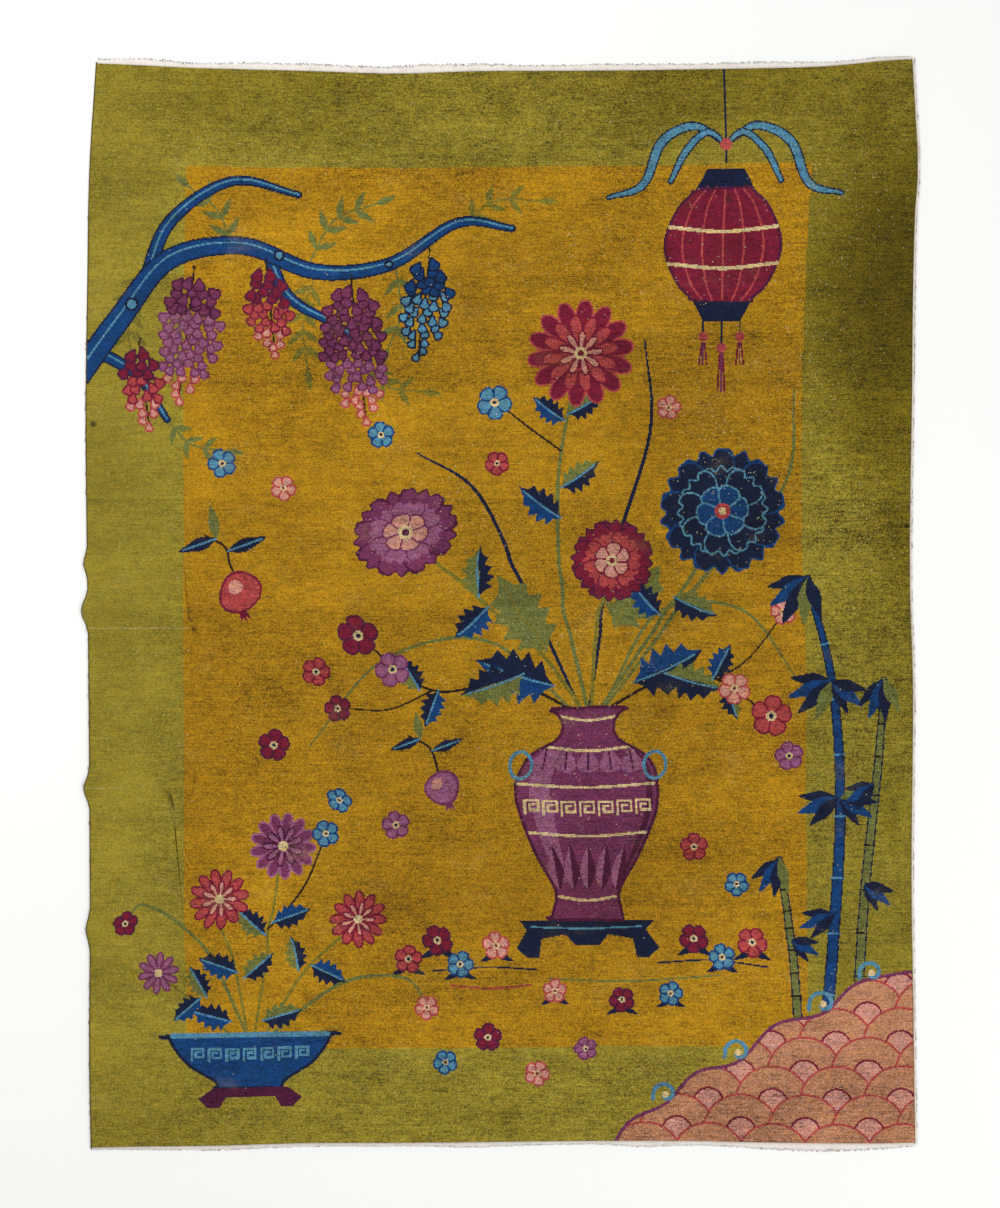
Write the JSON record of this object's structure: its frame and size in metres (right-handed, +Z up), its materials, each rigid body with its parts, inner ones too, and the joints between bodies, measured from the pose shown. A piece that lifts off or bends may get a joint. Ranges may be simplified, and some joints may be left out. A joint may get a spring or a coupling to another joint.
{
  "type": "chinese art deco rug",
  "caption": "Flat hand-knotted wool rug with a plain border round a gold field, a flower design, woven cotton ends with frayed warp and overcast sides.",
  "frame": {"origin": "on the floor, under the middle of the pile, on the rug's flat underside", "axes": "+X to the rug's right, +Y along its length to its upper end, +Z up out of the pile"},
  "size_m": [2.7429, 3.5849, 0.0143],
  "materials": {
    "wool_pile": "cut wool pile, worn and mottled",
    "cotton_web": "flat-woven cotton warp, frayed at the outer edge",
    "overcast_yarn": "yarn wound closely round the edge cord"
  },
  "bodies": {
    "root": {"knotted_rug": "wool_pile", "end_web_upper": "cotton_web", "end_web_lower": "cotton_web", "selvedge_left": "overcast_yarn", "selvedge_right": "overcast_yarn"}
  },
  "joints": []
}
